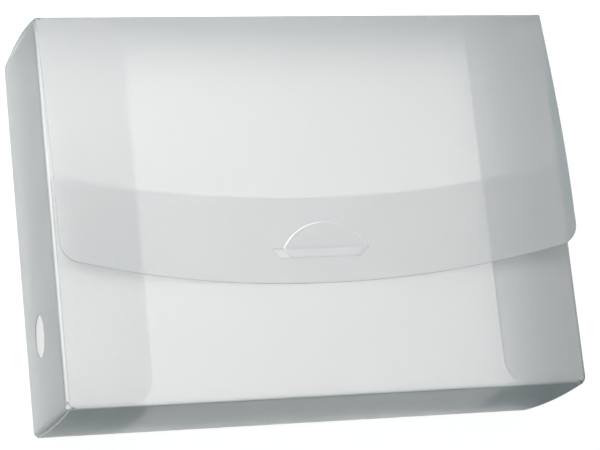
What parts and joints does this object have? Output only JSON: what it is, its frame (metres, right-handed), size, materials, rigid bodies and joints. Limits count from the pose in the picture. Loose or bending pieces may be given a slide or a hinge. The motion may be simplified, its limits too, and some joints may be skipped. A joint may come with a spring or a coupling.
{
  "type": "magazine file",
  "caption": "Frosted see-through plastic box for loose papers, folded from one sheet, with a wide flap held shut by a half-moon tongue and a finger hole in one end.",
  "frame": {"origin": "centre of the back panel's outer face, which the box lies on", "axes": "+X along the width towards the right end, +Y up the front towards the lid's crease, +Z out of the front"},
  "size_m": [0.33, 0.2456, 0.1152],
  "materials": {
    "frosted_sheet": "frosted, see-through when close behind",
    "creased_sheet": "frosted, thinned and polished along the crease"
  },
  "bodies": {
    "box": {"back_panel": "frosted_sheet", "bottom_panel": "frosted_sheet", "front_panel": "frosted_sheet", "left_end_panel": "frosted_sheet", "right_end_panel": "frosted_sheet", "left_front_tab": "frosted_sheet", "right_front_tab": "frosted_sheet", "left_bottom_tab": "frosted_sheet", "right_bottom_tab": "frosted_sheet", "back_bottom_fold": "creased_sheet", "bottom_front_fold": "creased_sheet", "back_left_fold": "creased_sheet", "back_right_fold": "creased_sheet", "left_front_fold": "creased_sheet", "right_front_fold": "creased_sheet", "left_bottom_fold": "creased_sheet", "right_bottom_fold": "creased_sheet", "back_top_fold": "creased_sheet", "tongue_fold": "creased_sheet"},
    "top": {"top_panel": "frosted_sheet", "top_flap_fold": "creased_sheet"},
    "flap": {"closing_flap": "frosted_sheet"},
    "tongue": {"lock_tongue": "frosted_sheet"}
  },
  "joints": [
    {"name": "top_open", "type": "hinge", "parent": "box", "child": "top", "pos_m": [0, 0.11924, 0.00076], "axis": [-1, 0, 0], "range_deg": [0, 180], "deforming": ["back_top_fold", "lock_tongue"]},
    {"name": "flap_open", "type": "hinge", "parent": "top", "child": "flap", "pos_m": [0, 0.11924, 0.10039], "axis": [-1, 0, 0], "range_deg": [0, 180], "deforming": ["top_flap_fold", "lock_tongue"]},
    {"name": "tongue_lift", "type": "hinge", "parent": "box", "child": "tongue", "pos_m": [0, -0.0335, 0.09945], "axis": [1, 0, 0], "range_deg": [0, 55], "stiffness_Nm_per_rad": 0.002, "deforming": ["tongue_fold"]}
  ]
}
